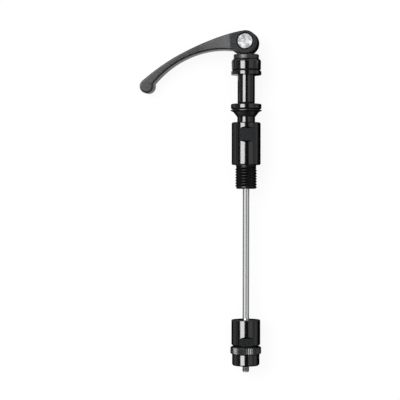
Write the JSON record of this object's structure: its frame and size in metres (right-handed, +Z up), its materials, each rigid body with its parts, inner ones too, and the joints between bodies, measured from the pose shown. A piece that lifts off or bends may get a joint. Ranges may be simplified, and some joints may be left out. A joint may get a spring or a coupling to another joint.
{
  "type": "thru axle adapter",
  "caption": "Quick-release axle adapter: a cam lever and a knurled nut on a long rod clamp a sleeve, a threaded adapter body and a plain clamping body.",
  "frame": {"origin": "on the rod's axis, where the full thread of the adapter body begins", "axes": "+Y along the rod towards the cam lever, the lever's arm towards -X, +Z up from the surface that the whole lies on"},
  "size_m": [0.0862, 0.2366, 0.0217],
  "materials": {
    "anodised_black": "gloss black anodised",
    "lever_black": "satin black, fine grain",
    "saddle_black": "moulded",
    "steel": "bright drawn",
    "rubber": "matt",
    "bush_black": "moulded"
  },
  "bodies": {
    "adapter": {"adapter_body": "anodised_black", "adapter_o_ring": "rubber", "cone_ring": "anodised_black", "flange_disk": "anodised_black"},
    "washer": {"cap_washer": "anodised_black", "spacer_sleeve": "anodised_black"},
    "rod": {"skewer_rod": "steel", "cross_pin": "steel"},
    "lever": {"lever": "lever_black", "pin_bush_near": "bush_black", "pin_bush_far": "bush_black"},
    "cap": {"cam_cap": "anodised_black", "cam_saddle": "saddle_black"},
    "nut_washer": {"nut_washer": "steel"},
    "nut": {"nut_body": "anodised_black", "knurled_ring": "anodised_black", "nut_insert": "bush_black"},
    "lower_ring": {"lower_o_ring": "rubber"},
    "clamp_body": {"lower_body": "anodised_black"}
  },
  "joints": [
    {"name": "skewer_draw", "type": "slide", "parent": "adapter", "child": "washer", "axis": [0, 1, 0], "range_m": [0, 0.09]},
    {"name": "skewer_turn", "type": "hinge", "parent": "washer", "child": "rod", "pos_m": [0, 0.0649, 0], "axis": [0, 1, 0], "continuous": true},
    {"name": "lever_swing", "type": "hinge", "parent": "rod", "child": "lever", "pos_m": [0, 0.088, 0], "axis": [0.0833, 0, -0.9965], "range_deg": [0, 180]},
    {"name": "cam_stroke", "type": "slide", "parent": "rod", "child": "cap", "axis": [0, 1, 0], "range_m": [0, 0.00181]},
    {"name": "nut_travel", "type": "slide", "parent": "rod", "child": "nut_washer", "axis": [0, -1, 0], "range_m": [-0.0081, 0.0121]},
    {"name": "nut_turn", "type": "hinge", "parent": "nut_washer", "child": "nut", "pos_m": [0, -0.1234, 0], "axis": [0, -1, 0], "range_deg": [-3600, 5400]},
    {"name": "clamp_slide", "type": "slide", "parent": "nut_washer", "child": "lower_ring", "axis": [0, -1, 0], "range_m": [-0.082, 0]},
    {"name": "clamp_turn", "type": "hinge", "parent": "lower_ring", "child": "clamp_body", "pos_m": [0, -0.1049, 0], "axis": [0, 1, 0], "continuous": true}
  ],
  "couplings": [
    {"joint": "cam_stroke", "follows": "lever_swing", "m_per_rad": 0.00057296},
    {"joint": "nut_travel", "follows": "nut_turn", "m_per_rad": 0.00012732}
  ]
}
